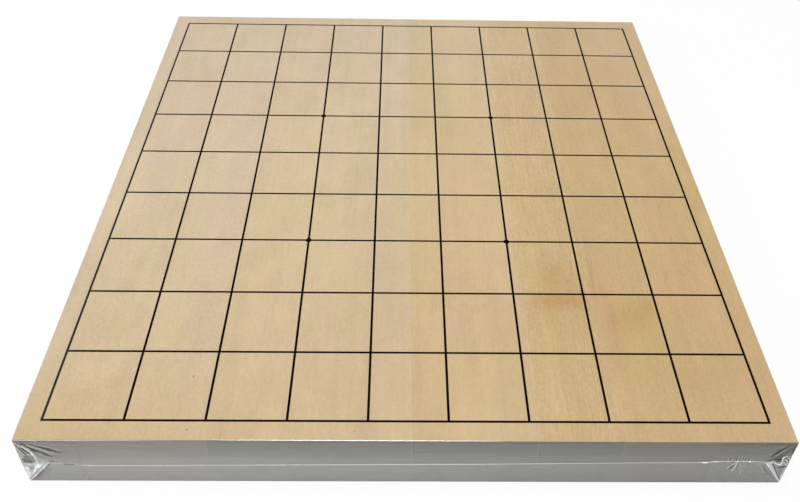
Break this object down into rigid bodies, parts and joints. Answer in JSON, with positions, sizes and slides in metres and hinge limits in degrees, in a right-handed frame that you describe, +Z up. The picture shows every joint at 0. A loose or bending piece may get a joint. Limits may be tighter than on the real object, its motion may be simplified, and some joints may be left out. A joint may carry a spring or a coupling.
{
  "type": "shogi board",
  "caption": "Flat wooden shogi board, edge-glued staves with a raised lacquer grid and star points, sealed in clear shrink film with side seams and gathered corners.",
  "frame": {"origin": "centre of the underside, on the surface that the board lies on", "axes": "+X right across the files, +Y away from the near player along the files, +Z up out of the playing face"},
  "size_m": [0.3344, 0.3654, 0.0305],
  "materials": {
    "board_wood": "planed pale straight-grained wood, sealed, edge-glued from staves",
    "wood_glue": "dried wood glue, a hair line between two staves",
    "black_lacquer": "raised black lacquer strokes and drops",
    "clear_film": "taut clear shrink film, glossy, with a faint grey veil on the side walls",
    "bunched_film": "film bunched and whitened at the weld and the corner gathers"
  },
  "bodies": {
    "root": {"stave_1": "board_wood", "stave_2": "board_wood", "stave_3": "board_wood", "stave_4": "board_wood", "stave_5": "board_wood", "glue_line_1": "wood_glue", "glue_line_2": "wood_glue", "glue_line_3": "wood_glue", "glue_line_4": "wood_glue", "rank_line_1": "black_lacquer", "rank_line_2": "black_lacquer", "rank_line_3": "black_lacquer", "rank_line_4": "black_lacquer", "rank_line_5": "black_lacquer", "rank_line_6": "black_lacquer", "rank_line_7": "black_lacquer", "rank_line_8": "black_lacquer", "rank_line_9": "black_lacquer", "rank_line_10": "black_lacquer", "file_line_1": "black_lacquer", "file_line_2": "black_lacquer", "file_line_3": "black_lacquer", "file_line_4": "black_lacquer", "file_line_5": "black_lacquer", "file_line_6": "black_lacquer", "file_line_7": "black_lacquer", "file_line_8": "black_lacquer", "file_line_9": "black_lacquer", "file_line_10": "black_lacquer", "star_point_front_left": "black_lacquer", "star_point_front_right": "black_lacquer", "star_point_back_left": "black_lacquer", "star_point_back_right": "black_lacquer", "shrink_film": "clear_film", "film_weld_front": "bunched_film", "film_weld_left": "bunched_film", "film_weld_right": "bunched_film", "film_gather_front_left": "bunched_film", "film_gather_front_right": "bunched_film", "film_gather_back_left": "bunched_film", "film_gather_back_right": "bunched_film"}
  },
  "joints": []
}
